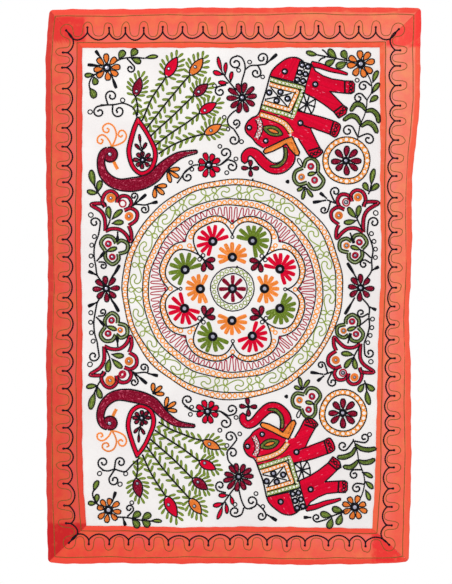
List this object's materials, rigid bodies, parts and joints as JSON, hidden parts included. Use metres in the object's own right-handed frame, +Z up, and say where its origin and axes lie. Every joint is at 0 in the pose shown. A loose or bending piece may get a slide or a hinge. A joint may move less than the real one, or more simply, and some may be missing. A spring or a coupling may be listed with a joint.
{
  "type": "embroidered wall hanging",
  "caption": "Upright rectangular embroidered cotton wall hanging with a mitred coral border and small mirror discs, hung by its top edge.",
  "frame": {"origin": "middle of the top edge, in the plane of the cloth, where the hanging is held", "axes": "+Z up, +X to the right as seen from the worked face, +Y into the wall"},
  "size_m": [0.7729, 0.0151, 1.1491],
  "materials": {
    "white_cotton": "plain weave cotton, matt",
    "coral_cotton": "thin plain weave cotton, matt",
    "mirror_glass": "small silvered glass discs",
    "black_thread": "twisted cotton thread, slight sheen",
    "red_thread": "twisted cotton thread, slight sheen",
    "maroon_thread": "twisted cotton thread, slight sheen",
    "orange_thread": "twisted cotton thread, slight sheen",
    "green_thread": "twisted cotton thread, slight sheen",
    "olive_thread": "twisted cotton thread, slight sheen"
  },
  "bodies": {
    "root": {"ground_panel": "white_cotton", "border_top": "coral_cotton", "border_bottom": "coral_cotton", "border_left": "coral_cotton", "border_right": "coral_cotton", "mirror_centre": "mirror_glass", "mirror_inner_1": "mirror_glass", "mirror_inner_2": "mirror_glass", "mirror_inner_3": "mirror_glass", "mirror_inner_4": "mirror_glass", "mirror_outer_1": "mirror_glass", "mirror_outer_2": "mirror_glass", "mirror_outer_3": "mirror_glass", "mirror_outer_4": "mirror_glass", "mirror_outer_5": "mirror_glass", "mirror_outer_6": "mirror_glass", "mirror_outer_7": "mirror_glass", "mirror_outer_8": "mirror_glass"}
  },
  "joints": []
}
